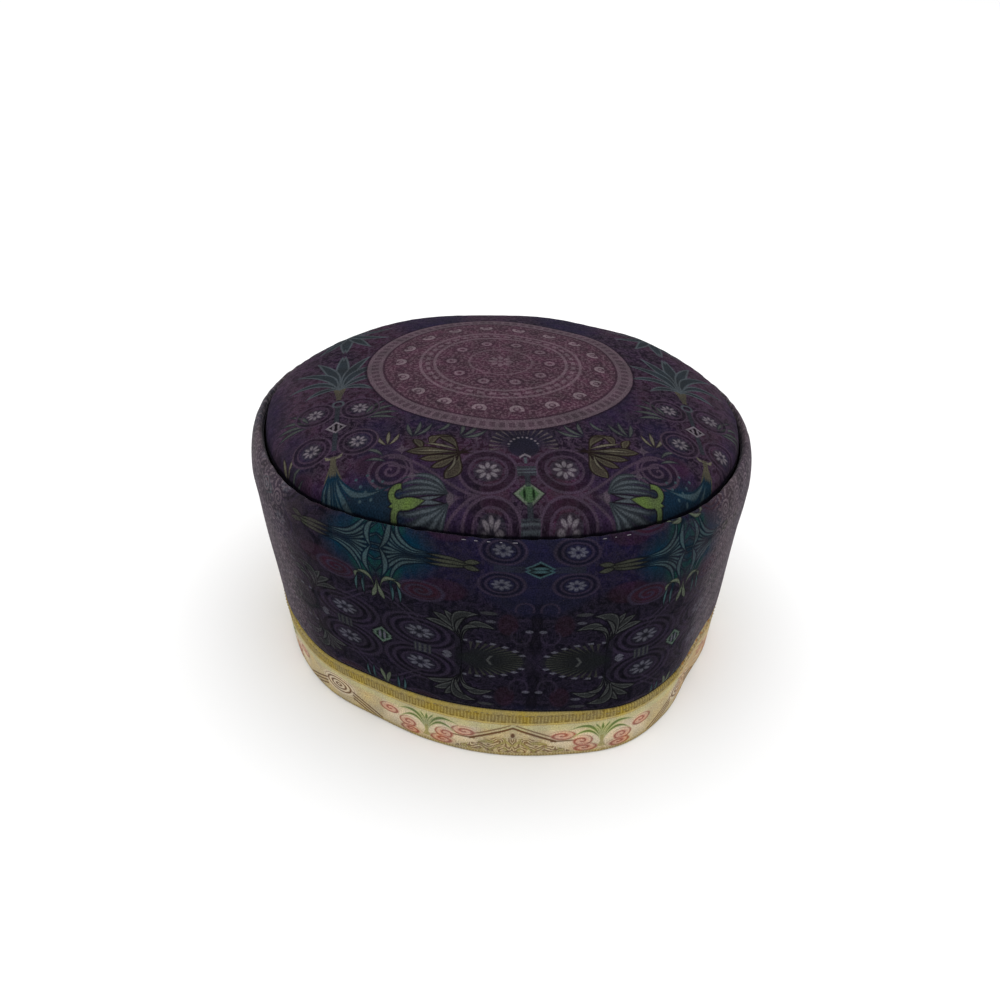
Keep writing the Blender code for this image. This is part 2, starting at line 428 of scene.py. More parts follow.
# Print
# Inks as they look in the light of the photograph, red green blue of 255
INKS = {
    "shadow": (34, 25, 37),
    "deep": (28, 22, 30),
    "mauve": (76, 62, 78),
    "mauve_pale": (92, 80, 92),
    "slate": (50, 56, 62),
    "slate_light": (82, 89, 95),
    "sprig": (78, 82, 80),
    "navy": (38, 37, 50),
    "plum": (72, 44, 62),
    # painted sheen towards the crown's left and right edges
    "plum_pale": (104, 84, 100),
    "blue": (38, 36, 62),
    "violet": (48, 36, 64),
    "red": (68, 40, 54),
    "pale": (122, 114, 122),
    "ray": (92, 84, 86),
    "olive": (84, 80, 68),
    "olive_dark": (38, 29, 28),
    "olive_deep": (60, 52, 48),
    "olive_pale": (112, 108, 94),
    "green": (74, 102, 70),
    "green_pale": (106, 118, 102),
    "green_dark": (24, 40, 26),
    "lime": (94, 112, 66),
    "teal": (24, 46, 62),
    "teal_light": (66, 84, 92),
    "medallion": (88, 62, 75),
    "medallion_rim": (104, 88, 97),
    "medallion_dark": (62, 44, 56),
    "medallion_light": (124, 104, 114),
    "medallion_pale": (142, 124, 132),
    # painted sheen, laid round the wall's sides
    "wall_side": (88, 78, 82),
    "wall_violet": (30, 26, 54),
    "side_pale": (120, 108, 114),
    "side_dark": (60, 50, 60),
    "wall_shadow": (12, 11, 17),
    "wall_blue": (26, 27, 46),
    "wall_teal": (14, 40, 54),
    "wall_navy": (12, 22, 34),
    "wall_sage": (54, 70, 74),
    "wall_moss": (18, 58, 48),
    "wall_red": (46, 24, 34),
    "wall_gray": (26, 28, 30),
    "wall_mauve": (44, 38, 52),
    "wall_slate": (36, 38, 46),
    "wall_slate_dark": (20, 22, 26),
    "wall_pale": (84, 84, 94),
    "wall_light": (60, 62, 62),
    "wall_olive": (56, 58, 50),
    "wall_lime": (82, 90, 76),
    "wall_green": (74, 90, 80),
    "wall_dark_green": (18, 32, 26),
    "wall_teal_light": (54, 76, 80),
    "cream_light": (212, 196, 168),
    "cream_green": (178, 174, 128),
    "band_brown": (98, 68, 44),
    "band_green": (98, 112, 62),
    "rose": (192, 138, 118),
    "rose_dark": (138, 76, 62),
    "orange": (168, 118, 72),
    "band_sand": (150, 124, 84),
    "olive_light": (146, 136, 80),
    "gold": (150, 133, 74),
    "gold_dark": (112, 92, 42),
    "gold_light": (184, 164, 102),
    "crown_ground": (44, 32, 50),
    "seam_shade": (16, 14, 24),
    "wall_ground": (21, 19, 29),
    "cream": (186, 170, 132),
    "thread_pale": (132, 128, 136),
    "thread_gold": (148, 130, 78),
    "thread_dark": (70, 66, 72),
    "cloth_dark": (60, 56, 64),
}
SOFT = 0.45                  # mm over which a printed edge blends
GAIN = 0.52                  # colour of the cloth for an ink's look, under this light
WALL_GAIN = 0.83
BAND_GAIN = 0.97
SEAM_SHADE = 0.9             # mm of the wall's lip that lies in the shade of the seam
SEAM_SHADE_CROWN = (1.5, 0.85)    # mm of the crown's edge in that shade, and how much more in front


class Number:
    """A number that shader nodes work out, so that the charts read as plain sums."""

    def __init__(self, tree, socket):
        self.tree = tree
        self.socket = socket

    def __add__(self, other):
        return maths("ADD", self, other)

    def __radd__(self, other):
        return maths("ADD", other, self)

    def __sub__(self, other):
        return maths("SUBTRACT", self, other)

    def __rsub__(self, other):
        return maths("SUBTRACT", other, self)

    def __mul__(self, other):
        return maths("MULTIPLY", self, other)

    def __rmul__(self, other):
        return maths("MULTIPLY", other, self)

    def __neg__(self):
        return maths("MULTIPLY", self, -1)


def maths(operation, *values):
    """One maths node over numbers, of which at least one is worked out by nodes."""
    tree = next(value.tree for value in values if isinstance(value, Number))
    node = tree.nodes.new("ShaderNodeMath")
    node.operation = operation
    for socket, value in zip(node.inputs, values):
        if isinstance(value, Number):
            tree.links.new(value.socket, socket)
        else:
            socket.default_value = value
    return Number(tree, node.outputs[0])


least = partial(maths, "MINIMUM")
most = partial(maths, "MAXIMUM")
size = partial(maths, "ABSOLUTE")
root = partial(maths, "SQRT")
sine = partial(maths, "SINE")
cosine = partial(maths, "COSINE")
angle = partial(maths, "ARCTAN2")
part = partial(maths, "FRACT")
fold = partial(maths, "PINGPONG")          # a distance mirrored at 0 and at a span
scaled = partial(maths, "MULTIPLY_ADD")    # a value times a rate, plus a start


def noise(x, y, grain, detail=2):
    """Soft noise about 0.5 whose spots are a grain across, in mm."""
    tree = x.tree
    place_node = tree.nodes.new("ShaderNodeCombineXYZ")
    tree.links.new(x.socket, place_node.inputs["X"])
    tree.links.new(y.socket, place_node.inputs["Y"])
    node = tree.nodes.new("ShaderNodeTexNoise")
    node.noise_dimensions = "2D"
    node.inputs["Scale"].default_value = 1 / grain
    node.inputs["Detail"].default_value = detail
    tree.links.new(place_node.outputs["Vector"], node.inputs["Vector"])
    return Number(tree, node.outputs[0])


def light(value):
    """A display value of 255 as an amount of light."""
    value = value / 255
    if value <= 0.04045:
        return value / 12.92
    return ((value + 0.055) / 1.055) ** 2.4


class Canvas:
    """A colour that inks are laid over one after the other."""

    def __init__(self, tree, ink, gain):
        self.tree = tree
        self.gain = gain
        self.colour = self.look(ink)

    def look(self, ink):
        return (*(light(value) * self.gain for value in INKS[ink]), 1)

    def __call__(self, ink, away, strength=1, soft=SOFT):
        """Lay an ink where the distance is negative, at a strength, with a soft edge in mm."""
        cover = scaled(away, -1 / soft, 0.5)
        if strength < 1:
            cover = least(cover, strength)
        mix = self.tree.nodes.new("ShaderNodeMix")
        mix.data_type = "RGBA"
        mix.clamp_factor = True
        _, under, over = [socket for socket in mix.inputs if socket.enabled]
        self.tree.links.new(cover.socket, mix.inputs["Factor"])
        if isinstance(self.colour, tuple):
            under.default_value = self.colour
        else:
            self.tree.links.new(self.colour, under)
        over.default_value = self.look(ink)
        self.colour = next(socket for socket in mix.outputs if socket.enabled)


def far(x, y):
    """Distance of a point from the origin."""
    return root(scaled(x, x, y * y))


def turned(x, y, degrees):
    """Coordinates whose first axis is turned anticlockwise by an angle."""
    c = math.cos(math.radians(degrees))
    s = math.sin(math.radians(degrees))
    return scaled(x, c, y * s), scaled(y, c, x * -s)


def ring(r, radius, width):
    return size(r - radius) - width / 2


def petals(x, y, count, middle, length, width):
    """A flower of rounded petals whose middles lie on a circle."""
    r = far(x, y)
    a = fold(angle(y, x), math.pi / count)
    return far((r * cosine(a) - middle) * (width / length), r * sine(a)) - width / 2


def spiral(x, y, r, pitch, width, hand):
    """A spiral line whose turns are a pitch apart; hand is 1 anticlockwise and -1 clockwise."""
    return size(part(scaled(angle(y, x), -hand / TURN, r * (1 / pitch))) - 0.5) * pitch - width / 2


def diamond(x, y, half_x, half_y):
    steep = 1 / math.hypot(1 / half_x, 1 / half_y)
    return scaled(size(x), steep / half_x, size(y) * (steep / half_y)) - steep


def bar(x, y, half_x, half_y):
    return most(size(x) - half_x, size(y) - half_y)


def oval(x, y, half_x, half_y):
    return (far(x * (1 / half_x), y * (1 / half_y)) - 1) * min(half_x, half_y)


CORE_INSET = 0.55            # mm from a leaf's edge to its darker middle

# A leaf from one point to another: bend moves its middle to the left, width is its widest
Blade = namedtuple("Blade", "x0 y0 x1 y1 bend width")
# A soft spot of colour: its middle, how much narrower or flatter than a circle, and its radius
Spot = namedtuple("Spot", "ink x y narrow flat radius strength soft")


def leaves(*rows):
    """Blades from rows of their numbers."""
    return tuple(Blade(*row) for row in rows)


def spots(paint, x, y, rows):
    for spot in (Spot(*row) for row in rows):
        reach = far((x - spot.x) * spot.narrow, (y - spot.y) * spot.flat)
        paint(spot.ink, reach - spot.radius, spot.strength, spot.soft)


def blade(x, y, leaf, heavy=False):
    """A leaf that tapers to both ends; a heavy one is widest near its tip."""
    reach = math.hypot(leaf.x1 - leaf.x0, leaf.y1 - leaf.y0)
    lean = math.degrees(math.atan2(leaf.y1 - leaf.y0, leaf.x1 - leaf.x0))
    along, across = turned(x - leaf.x0, y - leaf.y0, lean)
    way = along * (1 / reach)
    arch = way * (1 - way)
    swell = arch * (2 * leaf.width)
    if heavy:
        swell = swell * most(way * 1.7, 0.2)
    return size(scaled(arch, -4 * leaf.bend, across)) - swell


def blades(paint, x, y, leaves, ink, edge=None, heavy=False, edge_width=0.45, core=None):
    """Leaves in one ink, each over its own darker edge, and some with a darker middle."""
    for leaf in leaves:
        away = blade(x, y, leaf, heavy)
        if edge:
            paint(edge, away - edge_width)
        paint(ink, away)
        if core:
            paint(core, away + CORE_INSET, 0.7)


def filler(paint, x, y, pale, dark, strength=0.5):
    """The small scrolls and specks that fill the ground between the motifs."""
    curl = size(part(noise(x, y, 6.5, 0.6) * 9) - 0.5) * 1.1
    patch = noise(x + 31, y, 2.6, 1)
    paint(dark, (patch - 0.47) * 9, strength * 0.8, 1.6)
    paint(pale, most(curl - 0.22, (0.45 - patch) * 12), strength, 0.5)
    paint(pale, (0.63 - noise(x + 57, y, 1.7, 0)) * 5, strength, 0.5)


def rosette(paint, x, y, flower, inner, outer, line, petal_ink="pale", ring_ink="mauve"):
    """A flower in two rings."""
    r = far(x, y)
    paint("shadow", ring(r, (inner + outer) / 2, outer - inner + 0.6), 0.55)
    paint(ring_ink, ring(r, outer, line))
    paint(ring_ink, ring(r, inner, line * 0.8), 0.8)
    paint("slate", r - flower * 1.2, 0.35)
    paint(petal_ink, petals(x, y, 8, flower * 0.66, flower * 0.68, flower * 0.36))


# The crown's chart: q across from an axis, p towards the medallion, mirrored at both ends
CROWN_AXIS = (8.8, -73.1)    # where the front axis starts, in mm from the cap's middle
CROWN_TURN = 5.5             # degrees the print is turned against the cap
CROWN_HALF = 64            # from the front axis to the side axis
CROWN_SPAN = 101           # along the front axis to the next mirror line
CROWN_FRONT_SCALE = 0.84     # how much of the print runs over the crown's front edge
SIDE_DIAMOND = 40.5          # p of the small diamond on the side axis
MEDALLION_MIDDLE = (-2.6, 7.7)
MEDALLION_RADIUS = 50.7

CROWN_PALMETTE = leaves(
    (22, 18, 26.8, 7.8, -1.4, 4.2),
    (22.2, 18.2, 31, 12.6, -0.7, 2.3),
    (22.3, 18.6, 34.6, 16.6, -0.6, 2.3),
    (22.4, 20.4, 28.8, 28.2, 1.6, 2.6),
    (26.8, 27.6, 31.4, 23.8, 1.5, 2.6),
    (34.6, 20.4, 36.8, 26.6, 0.9, 2.2),
    (22.4, 19.4, 39, 20.6, 0.2, 3.2),
)
CROWN_PALMETTE_RIBS = leaves(
    (23, 20.9, 32.6, 24, 0.4, 0.9),
    (24, 19.7, 36.5, 20.6, 0.2, 0.7),
    (23.4, 17.2, 26, 10.8, -0.8, 0.7),
)
LILY_LEAVES = leaves(
    (41, 0.8, 28.6, 1.2, 0.5, 1.3),
)
LILY_FAN = leaves(
    (27.6, 2, 39.8, 2.8, 0.6, 0.8),
    (27.4, 2.4, 40, 4.6, 1.2, 0.9),
    (27.2, 2.8, 39.6, 6.8, 1.9, 1),
    (27, 3.4, 38, 9.4, 2.4, 1),
)
CROWN_FAN = leaves(
    (45, 25.5, 42, 30.5, 0.4, 1),
    (45.8, 26, 45.4, 32.5, 0, 1.1),
    (46.6, 25.5, 49.5, 31, -0.4, 1),
)
CROWN_SPRIGS = leaves(
    (53, 44, 43.5, 42, -0.8, 1.3),
    (53.2, 45, 42.8, 46, -0.9, 1.4),
    (53.4, 46, 44, 50.6, -1, 1.4),
    (53.8, 46.8, 47.4, 54.4, -0.8, 1.3),
    (36, 29, 30.8, 35, 0.8, 1.1),
    (36.8, 29.4, 34.6, 36.6, 0.5, 1.2),
    (37.6, 29, 39, 36, -0.3, 1.1),
    (20, 27, 12.4, 30.4, 0.9, 1.2),
    (20.4, 27.8, 15, 33.6, 0.8, 1.2),
    (21, 28.6, 20, 34.8, 0.4, 1.1),
    (28.6, 31, 24.4, 35.6, 0.8, 1.1),
    (47.6, 20.4, 53.4, 24.4, 0.9, 1.1),
    (47, 17.4, 52.6, 19, 0.6, 0.9),
)
# Middles of the stars, with their size, and of the dots
CROWN_STARS = ((41, 22, 3.2), (37.6, 9.6, 2.6), (15.7, 26.2, 1.9))
CROWN_DOTS = ((50.5, 9.5), (53, 6.2), (49, 6.4), (56, 11.5), (52.2, 12.2), (54.6, 8.6), (47.2, 8.6),
              (51.4, 3.4), (55.2, 3.8))
# Beside the side axis: x out from it, y away from the small diamond
TEAL_LEAVES = leaves(
    (0, 27, 0.6, 42, 0, 1.5),
    (0.6, 27, 3.6, 41.5, 0.5, 1.5),
    (1.2, 27.2, 7.8, 40.5, 1.6, 1.5),
    (2.2, 27, 16, 35, 3.4, 1.6),
)
GRAY_LEAVES = leaves(
    (0, 28, 0.6, 56, 0, 3.4),
    (0.8, 29, 9, 53, 1.5, 3.2),
    (1.2, 29, 15.5, 45, 3.5, 3),
    (1.6, 28.5, 17, 33, 3.5, 2.2),
    (1.2, 27.5, 11, 25, 1.4, 1.6),
)
CROWN_SPOTS = (
    ("navy", 0, 27, 0.55, 1, 6, 0.7, 4),
    ("blue", 30, 60, 0.7, 0.35, 8, 0.6, 9),
    ("blue", 49, 27, 1, 0.5, 6, 0.5, 7),
    ("violet", 40, 8, 0.6, 1, 12, 0.6, 5),
    ("red", 11, 1.5, 1, 1, 4, 0.45, 3),
    ("red", 52, 17, 1, 1, 3.5, 0.4, 4),
    ("teal", 52, 0, 0.7, 1, 9, 0.9, 6),
)


def crown_side_axis(paint, x, y):
    """What stands on the side axis: x out from it, y from the small diamond towards the back."""
    for height in (10.4, -10.4):
        rosette(paint, x - 8, y - height, 2.9, 4.9, 6.9, 0.7)
    paint("slate", most(x - 0.8, size(y) - 13), 0.8)
    paint("pale", diamond(x, y, 3.7, 3.4))
    paint("deep", diamond(x, y, 2.6, 2.4))
    paint("pale", oval(x - 0.9, y, 0.4, 1.5))
    front = -y
    paint("olive", most(x - 1 - most(front - 20, 0) * 0.3, size(front - 21.5) - 5.5))
    paint("olive_pale", blade(x, front, Blade(0.4, 17, 3, 15.2, 0.6, 1.1)))
    blades(paint, x, front, TEAL_LEAVES, "teal_light", "teal", False, 0.7)
    paint("slate_light", ring(far(x, y - 15), 1.9, 0.8), 0.8)
    paint("olive", most(x - 0.9 - most(y - 20, 0) * 0.22, size(y - 24) - 5.8), 0.9)
    blades(paint, x, y, GRAY_LEAVES, "slate", "slate_light", False, 0.7)


def crown_chart(paint, q, along):
    p = fold(most(along, along * CROWN_FRONT_SCALE), CROWN_SPAN)
    filler(paint, q, p, "mauve", "deep", 0.6)
    spots(paint, q, p, CROWN_SPOTS)
    # The scroll band from the spiral to the diamond, and the spiral
    x, y = q - 44.8, p - 12.6
    r = far(x, y)
    paint("shadow", r - 7.4, 0.5, 1.2)
    climb = (p - 8.8 + 9.8 * cosine((q - 12.3) * (math.pi / 33.7))) * 0.8
    band = most(size(size(climb + 1.5) - 1.5) - 0.5, size(q - 27) - 18.5)
    paint("mauve", band)
    paint("mauve", most(spiral(x, y, r, 2.9, 1, -1), r - 6))
    paint("mauve", ring(r, 7.1, 1))
    rosette(paint, q - 12.7, p - 10.2, 3.9, 6.3, 9.6, 1)
    # The lily with its leaves
    blades(paint, q, p, LILY_FAN, "slate_light", "slate", False, 0.6)
    blades(paint, q, p, LILY_LEAVES, "slate_light", "deep", False, 0.5)
    horn = most(ring(far(q - 41.8, p - 3.3), 2.7, 1.8), 41.2 - q)
    stem = blade(q, p, Blade(45.4, 0, 34, 0, 0, 3.4))
    lily = least(horn, stem)
    paint("deep", lily - 0.5, 0.8)
    paint("lime", lily)
    paint("mauve_pale", oval(q - 25.6, p, 1.1, 1.9))
    # On the front axis: diamond, bars, chevron and the shell with its rays
    paint("deep", diamond(q, p, 5.6, 5.2), 0.6)
    paint("green_pale", diamond(q, p, 4.9, 4.5))
    paint("green", diamond(q, p, 3.4, 3.7))
    paint("green_dark", oval(q - 1.5, p, 0.45, 2.1))
    paint("slate", most(size(q) - 0.9, size(p - 5.4) - 2.6), 0.8)
    paint("slate", bar(q, p - 9.6, 3.1, 2.2), 0.7)
    paint("slate_light", most(bar(q, p - 9.6, 3.1, 1.8), 0.42 - size(fold(p - 9.6, 0.72))), 0.8)
    x, y = q, p - 21.6
    r = far(x, y)
    turn = angle(y, x)
    paint("navy", r - 5.4, 0.9, 1)
    rays = most(0.75 - r * fold(turn, 0.1), ring(r, 9.2, 5))
    paint("ray", most(rays, -1.5 - y), 0.9)
    paint("pale", most(far(r - 5.2, r * fold(turn, 0.16)) - 0.4, 0.4 - y))
    paint("pale", most(size(scaled(q, 0.7, p - 17.6)) - 0.5, q - 1.9))
    paint("slate_light", most(q - 0.45, size(p - 14.6) - 1.4))
    once = least(p, along)
    blades(paint, q, once, CROWN_PALMETTE, "olive", "olive_dark", True, 0.6, "olive_deep")
    blades(paint, q, once, CROWN_PALMETTE_RIBS, "olive_pale", "olive_dark", False, 0.3)
    # Small stars and sprigs between
    for star_q, star_p, reach in CROWN_STARS:
        star = root(size(q - star_q)) + root(size(p - star_p)) - math.sqrt(reach)
        paint("mauve_pale", star, 0.7)
    blades(paint, q, p, CROWN_FAN, "olive_pale", "olive_dark", False, 0.3)
    blades(paint, q, p, CROWN_SPRIGS, "sprig", "navy", False, 0.4)
    crown_side_axis(paint, CROWN_HALF - q, p - SIDE_DIAMOND)
    for dot_q, dot_p in CROWN_DOTS:
        paint("teal_light", far(q - dot_q, p - dot_p) - 0.5)


def medallion_chart(paint, x, y):
    r = far(x, y)
    turn = angle(y, x)
    edge = MEDALLION_RADIUS
    paint("shadow", r - edge - 0.8, 0.7, 1.2)
    paint("medallion", r - edge)
    pebble = noise(x, y, 1.2, 1)
    paint("medallion_dark", most(r - edge, (pebble - 0.43) * 5), 0.48, 0.6)
    paint("medallion_light", most(r - edge, (0.6 - pebble) * 5), 0.42, 0.6)
    paint("medallion_rim", ring(r, edge - 2.9, 5.8))
    paint("medallion_dark", most(ring(r, edge - 2.9, 2.6), 0.75 - r * fold(turn, math.pi / 88)), 0.55)
    paint("medallion_dark", ring(r, edge - 6.2, 0.8), 0.8)
    # Crescent flowers, and small rings between them
    step = TURN / 18
    a = fold(turn, step / 2)
    x1, y1 = r * cosine(a) - 38.6, r * sine(a)
    r1 = far(x1, y1)
    paint("medallion_dark", r1 - 3.2, 0.4)
    paint("medallion_pale", most(ring(r1, 2, 1.2), x1 - 1.2), 0.8)
    paint("medallion_light", far(x1 + 0.3, y1) - 0.8)
    a = fold(turn + step / 2, step / 2)
    paint("medallion_dark", ring(far(r * cosine(a) - 38, r * sine(a)), 1.3, 0.8), 0.7)
    for radius in (30.6, 25.2):
        paint("medallion_light", ring(r, radius, 1), 0.7)
    paint("medallion_light", most(ring(r, 27.9, 1.4), 1 - r * fold(turn, math.pi / 40)), 0.75)
    a = fold(turn, math.pi / 10)
    r2 = far(r * cosine(a) - 18.8, r * sine(a))
    paint("medallion_light", ring(r2, 1.5, 1), 0.85)
    paint("medallion_dark", ring(r2, 2.8, 0.8), 0.6)
    paint("medallion_light", ring(r, 12, 0.6), 0.5)
    paint("medallion_light", petals(x, y, 8, 3.3, 2.8, 1.8), 0.75)
    paint("medallion_light", r - 0.8, 0.75)


# The wall's chart: a round from the front axis, b up or down from the level of the big rosettes
WALL_HALF = 54.4             # from the front axis to the next mirror line, round the shoulder
WALL_LEVEL = 43.2            # height of that level above the base, on the front axis
WALL_TILT = 0.040            # how much it drops for each mm round to the right
WALL_SPAN = 38             # up to the level of the small diamonds

WALL_PALMETTE = leaves(
    (25.6, 8.6, 37, 13.6, 1.6, 1.9),
    (25.4, 9, 34.4, 17, 1.2, 2.2),
    (25.2, 9.2, 30.6, 18.6, 0.8, 2.2),
    (24.6, 7.4, 13.8, 13.4, -4.4, 2.6),
    (25, 9.6, 19.4, 13.6, -1.8, 1.4),
)
WALL_PALMETTE_TOP = leaves(
    (27.4, 10.6, 19.6, 18.8, -3.4, 3.6),
    (26.6, 10.6, 24, 16.8, -0.9, 1.2),
)
WALL_LILY = leaves(
    (53, 22.8, 47.6, 26.8, -1.6, 1.4),
    (48.4, 26.2, 46.2, 23.6, -0.9, 1),
    (54.2, 24, 52.2, 17, 0.3, 1.5),
)
WALL_LILY_LEAVES = leaves(
    (49.6, 25, 49, 17.6, -0.4, 0.9),
    (47, 24.2, 46.2, 17.8, -0.4, 0.8),
)
WALL_TRUNK = leaves(
    (23, 37.6, 35.6, 36.4, -0.3, 1),
    (23, 37.9, 35.8, 37.9, 0, 0.9),
    (19.6, 36.6, 24.6, 37.2, 0, 1.6),
)
WALL_FAN = leaves(
    (36.6, 37.6, 54, 37, 0.2, 1),
    (36.8, 37.2, 53.6, 33.8, 1.3, 1.1),
    (37.2, 36.8, 52.8, 30.6, 2.4, 1.1),
    (37.6, 36.4, 51.6, 27.8, 3.3, 1.1),
    (38, 36, 49.2, 25.6, 3.6, 1),
    (52.6, 37.8, 52, 27.6, -1.6, 1.5),
)
WALL_SPOTS = (
    ("wall_blue", 0, 31, 0.9, 1.4, 15, 0.6, 6),
    ("wall_teal", 48, 38.5, 0.8, 1.1, 10, 0.9, 7),
    ("wall_moss", 50, 31, 1.2, 1, 4, 0.6, 6),
    ("wall_red", 31, 27, 0.8, 1.5, 5, 0.4, 4),
    ("wall_red", 9.5, 15.5, 1, 0.8, 2.6, 0.35, 2.5),
    ("wall_gray", 14, 0, 0.75, 1.6, 8, 0.9, 3),
)


def wall_chart(paint, a, b):
    filler(paint, a, b, "wall_mauve", "wall_shadow", 0.32)
    spots(paint, a, b, WALL_SPOTS)
    # Big rosettes with bars between them
    squeezed = (a - 39.6) * 0.52
    rise = b - 6.9
    r = far(squeezed, rise)
    paint("wall_shadow", ring(r, 5.3, 3.2), 0.5, 0.8)
    for radius, line in ((7.1, 0.8), (5.4, 0.75), (3.6, 0.6)):
        paint("wall_mauve", ring(r, radius, line), 0.8)
    paint("wall_slate", r - 2.7, 0.3)
    paint("wall_pale", petals(squeezed, rise, 8, 1.75, 1.5, 0.85), 0.8)
    stripes = most(bar(a - 38.6, b, 2.9, 1.7), 0.5 - size(fold(a - 38.6, 0.95)))
    paint("wall_slate", bar(a - 38.6, b, 3.3, 2), 0.6)
    paint("wall_light", stripes, 0.7)
    # The band that swings round them to the spiral
    x = (a - 38.8) * 0.5
    y = b - 24.6
    r = far(x, y)
    paint("wall_red", r - 3.4, 0.7, 1.5)
    paint("wall_mauve", most(spiral(x, y, r, 1.7, 0.7, -1), r - 3))
    paint("wall_mauve", ring(r, 3.8, 0.75))
    climb = (b - 17 + 4.6 * cosine((a - 36) * (math.pi / 19))) * 0.9
    swing = most(size(size(climb + 1.1) - 1.1) - 0.38, size(a - 47) - 7.4)
    paint("wall_mauve", swing, 0.9)
    # The diamond on the side mirror
    x = WALL_HALF - a
    paint("wall_shadow", diamond(x, b - 0.5, 4.6, 3.6), 0.6)
    paint("wall_green", diamond(x, b - 0.5, 3.9, 3))
    paint("wall_dark_green", diamond(x, b - 0.5, 2.7, 2))
    paint("wall_pale", oval(x - 0.9, b - 0.5, 0.5, 1.2))
    # The feathered shell that lies along the level, its dashes and chevron
    x = 21.6 - a
    y = b * 2.5
    r = far(x, y)
    turn = angle(y, x)
    paint("wall_olive", most(most(0.8 - r * fold(turn, 0.075), ring(r, 11, 13.4)), -0.6 - x), 0.55)
    paint("wall_gray", r - 4.6, 0.9)
    paint("wall_light", most(size(scaled(b, 0.7, a - 15.9)) - 0.45, b - 1.9))
    dashes = most(ring(r, 18.8, 1.9), 1.5 - r * fold(turn, 0.13))
    paint("wall_pale", most(dashes, most(5.6 - y, -3 - x)), 0.75)
    paint("wall_pale", blade(a, b, Blade(28, 0.3, 31.4, 0.5, 0.4, 1.5)), 0.7)
    paint("wall_slate_dark", bar(a - 25.6, b, 1.1, 11), 0.5, 1.4)
    blades(paint, a, b, WALL_PALMETTE, "wall_light", "wall_shadow", True, 0.5, "wall_gray")
    blades(paint, a, b, WALL_PALMETTE_TOP, "wall_light", "wall_shadow", False, 0.5, "wall_gray")
    # The lily and the teal fan beside the shoulder
    blades(paint, a, b, WALL_LILY_LEAVES, "wall_teal_light", "wall_shadow", False, 0.4)
    blades(paint, a, b, WALL_FAN, "wall_sage", "wall_navy", False, 0.6)
    blades(paint, a, b, WALL_LILY, "wall_lime", "wall_shadow", True, 0.3)
    blades(paint, a, b, WALL_TRUNK, "wall_olive", "wall_shadow", False, 0.3)
    # Small rosettes and the small diamond on the front axis
    squeezed = (a - 12.2) * 0.62
    rise = size(b - 37.4) - 5.6
    r = far(squeezed, rise)
    paint("wall_shadow", ring(r, 3.6, 1.8), 0.5)
    for radius, line in ((4.7, 0.7), (3.2, 0.55)):
        paint("wall_mauve", ring(r, radius, line))
    paint("wall_pale", petals(squeezed, rise, 8, 1.35, 1.3, 0.8), 0.75)
    paint("wall_teal_light", diamond(a, b - 37.4, 5, 2.6), 0.9)
    paint("wall_shadow", diamond(a, b - 37.4, 4, 1.9))
    paint("wall_teal_light", oval(a, b - 37.4, 2.4, 0.5))
    paint("wall_slate", most(size(b - 37.4) - 0.5, size(a - 10) - 5), 0.7)
    # The dark column with scrolls
    paint("wall_shadow", most(a - 1.5, size(b - 14) - 10), 0.5, 1.6)
    paint("wall_mauve", most(ring(far(a - 4.2, (b - 22) * 1.1), 3, 0.7), 21 - b), 0.8)
    paint("wall_mauve", most(ring(far(a - 5, b - 11), 3.2, 0.6), b - 13), 0.6)
    paint("wall_pale", oval(a - 2.3, b - 13.2, 1.1, 0.5), 0.6)
    paint("wall_pale", oval(a - 15.2, b - 16.4, 1.3, 0.5), 0.5)
    paint("wall_light", oval(a - 16, b - 19.8, 2.4, 0.6), 0.5)


# The scrolls round the wall's sides, in mm from one to the next
SCROLL_STEP = 11
SCROLL_RISE = 9
SCROLL_FADE = 0.02           # slowness of their fading in
SIDES_SHIFT = 12             # how far the sides are shifted round from the front axis

# The border band's chart: u round from the front axis, v up from the base
BAND_MIDDLE = -5.8           # u of the middle of its repeat
BAND_REPEAT = 74.8           # from the pediment to the big spiral
BARE_MIDDLE = 92           # u of the stretch without the gold strip
BARE_HALF = 26
GOLD_FOOT = 14.9             # height where the gold strip starts

BAND_LEAVES = leaves(
    (0, 6.5, 0, 13.8, 0, 1.5),
    (0.4, 6.5, 2.6, 13.8, 0.5, 1.3),
    (0.6, 6.6, 5.4, 13.6, 1.2, 1.3),
    (0.8, 6.8, 8.6, 13.2, 2.4, 1.3),
    (0.9, 7.4, 11.6, 12, 3.4, 1.2),
    (1, 7, 10.4, 8.6, 3, 1),
)
# Middle, level, half width and half height
BAND_SCROLLS = (
    (17.4, 9.4, 5.2, 2.3),
    (24.6, 6.4, 4.2, 2.7),
    (39.6, 6.2, 4.4, 2.7),
    (48, 9.2, 5.2, 2.5),
    (25.6, 3.2, 5, 2),
    (38.6, 3, 4.8, 1.9),
)


